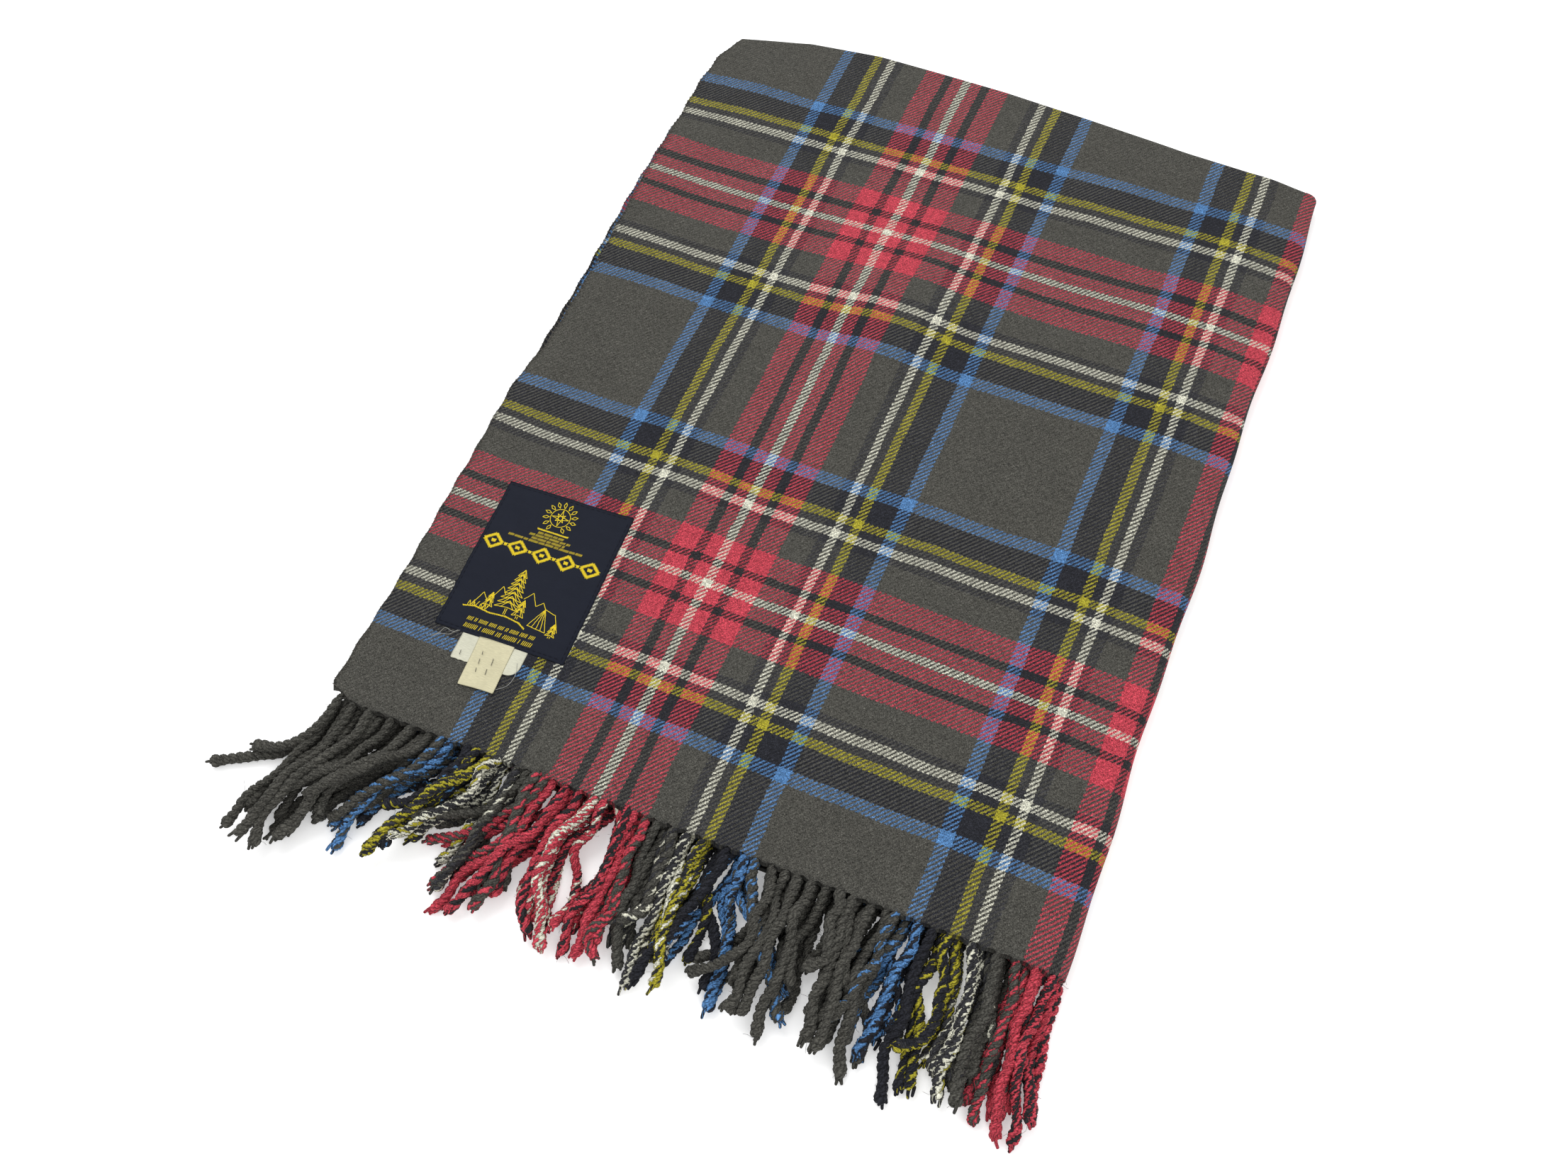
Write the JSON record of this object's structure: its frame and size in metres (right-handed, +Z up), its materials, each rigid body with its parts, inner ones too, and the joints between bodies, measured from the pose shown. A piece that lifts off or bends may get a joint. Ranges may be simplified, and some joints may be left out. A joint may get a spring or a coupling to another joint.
{
  "type": "camp blanket",
  "caption": "Folded tartan wool camp blanket in four plies with twisted tassel fringe, a woven label and two lifting care tags; it opens along its right-hand fold.",
  "frame": {"origin": "under the middle of the folded blanket's whole outline, fringe and loose tassels included, on the surface it lies on", "axes": "+Z up through the plies; +Y along the folded panel, from the fringe to the far fold; +X across it, towards the fold that the blanket opens along"},
  "size_m": [0.3963, 0.555, 0.0169],
  "materials": {
    "cloth": "brushed wool twill, olive grey ground with red, navy, blue, yellow and white bands",
    "edging": "overcast thread, pale",
    "fringe": "two-strand twisted wool yarn in the colours of the warp",
    "label": "woven navy satin with a yellow thread motif",
    "label_thread": "navy sewing thread",
    "care_tag": "white satin tape",
    "size_tag": "cream woven tape"
  },
  "bodies": {
    "lower_half": {"lower_outer_ply": "cloth", "lower_inner_ply": "cloth", "lower_far_fold": "cloth", "lower_outer_edging": "edging", "lower_inner_edging": "edging", "lower_outer_fringe_1": "fringe", "lower_inner_fringe_1": "fringe", "lower_outer_fringe_2": "fringe", "lower_inner_fringe_2": "fringe", "lower_outer_fringe_3": "fringe", "lower_inner_fringe_3": "fringe", "lower_outer_fringe_4": "fringe", "lower_inner_fringe_4": "fringe", "lower_outer_fringe_5": "fringe", "lower_inner_fringe_5": "fringe", "lower_outer_fringe_6": "fringe", "lower_inner_fringe_6": "fringe", "lower_outer_fringe_7": "fringe", "lower_inner_fringe_7": "fringe"},
    "upper_half": {"upper_outer_ply": "cloth", "upper_inner_ply": "cloth", "upper_far_fold": "cloth", "upper_outer_edging": "edging", "upper_inner_edging": "edging", "upper_outer_fringe_1": "fringe", "upper_inner_fringe_1": "fringe", "upper_outer_fringe_2": "fringe", "upper_inner_fringe_2": "fringe", "upper_outer_fringe_3": "fringe", "upper_inner_fringe_3": "fringe", "upper_outer_fringe_4": "fringe", "upper_inner_fringe_4": "fringe", "upper_outer_fringe_5": "fringe", "upper_inner_fringe_5": "fringe", "upper_outer_fringe_6": "fringe", "upper_inner_fringe_6": "fringe", "upper_outer_fringe_7": "fringe", "upper_inner_fringe_7": "fringe", "woven_label": "label", "label_seam_left": "label_thread", "label_seam_right": "label_thread", "label_seam_top": "label_thread", "label_seam_bottom": "label_thread"},
    "care_tag": {"care_tag": "care_tag"},
    "size_tag": {"size_tag": "size_tag"},
    "stray_tassels": {"stray_tassel_long": "fringe", "stray_tassel_short": "fringe"}
  },
  "joints": [
    {"name": "open_fold", "type": "hinge", "parent": "lower_half", "child": "upper_half", "pos_m": [0.1981, 0, 0.00845], "axis": [0, 1, 0], "range_deg": [0, 180]},
    {"name": "lift_care_tag", "type": "hinge", "parent": "upper_half", "child": "care_tag", "pos_m": [-0.10454, -0.14638, 0.01645], "axis": [-0.9996, -0.0297, 0], "range_deg": [0, 75]},
    {"name": "lift_size_tag", "type": "hinge", "parent": "care_tag", "child": "size_tag", "pos_m": [-0.10454, -0.14638, 0.01645], "axis": [-0.9996, -0.0297, 0], "range_deg": [0, 75]},
    {"name": "swing_stray_tassels", "type": "hinge", "parent": "lower_half", "child": "stray_tassels", "pos_m": [-0.1644, -0.1997, 0], "axis": [0, 0, 1], "range_deg": [-35, 10]}
  ]
}
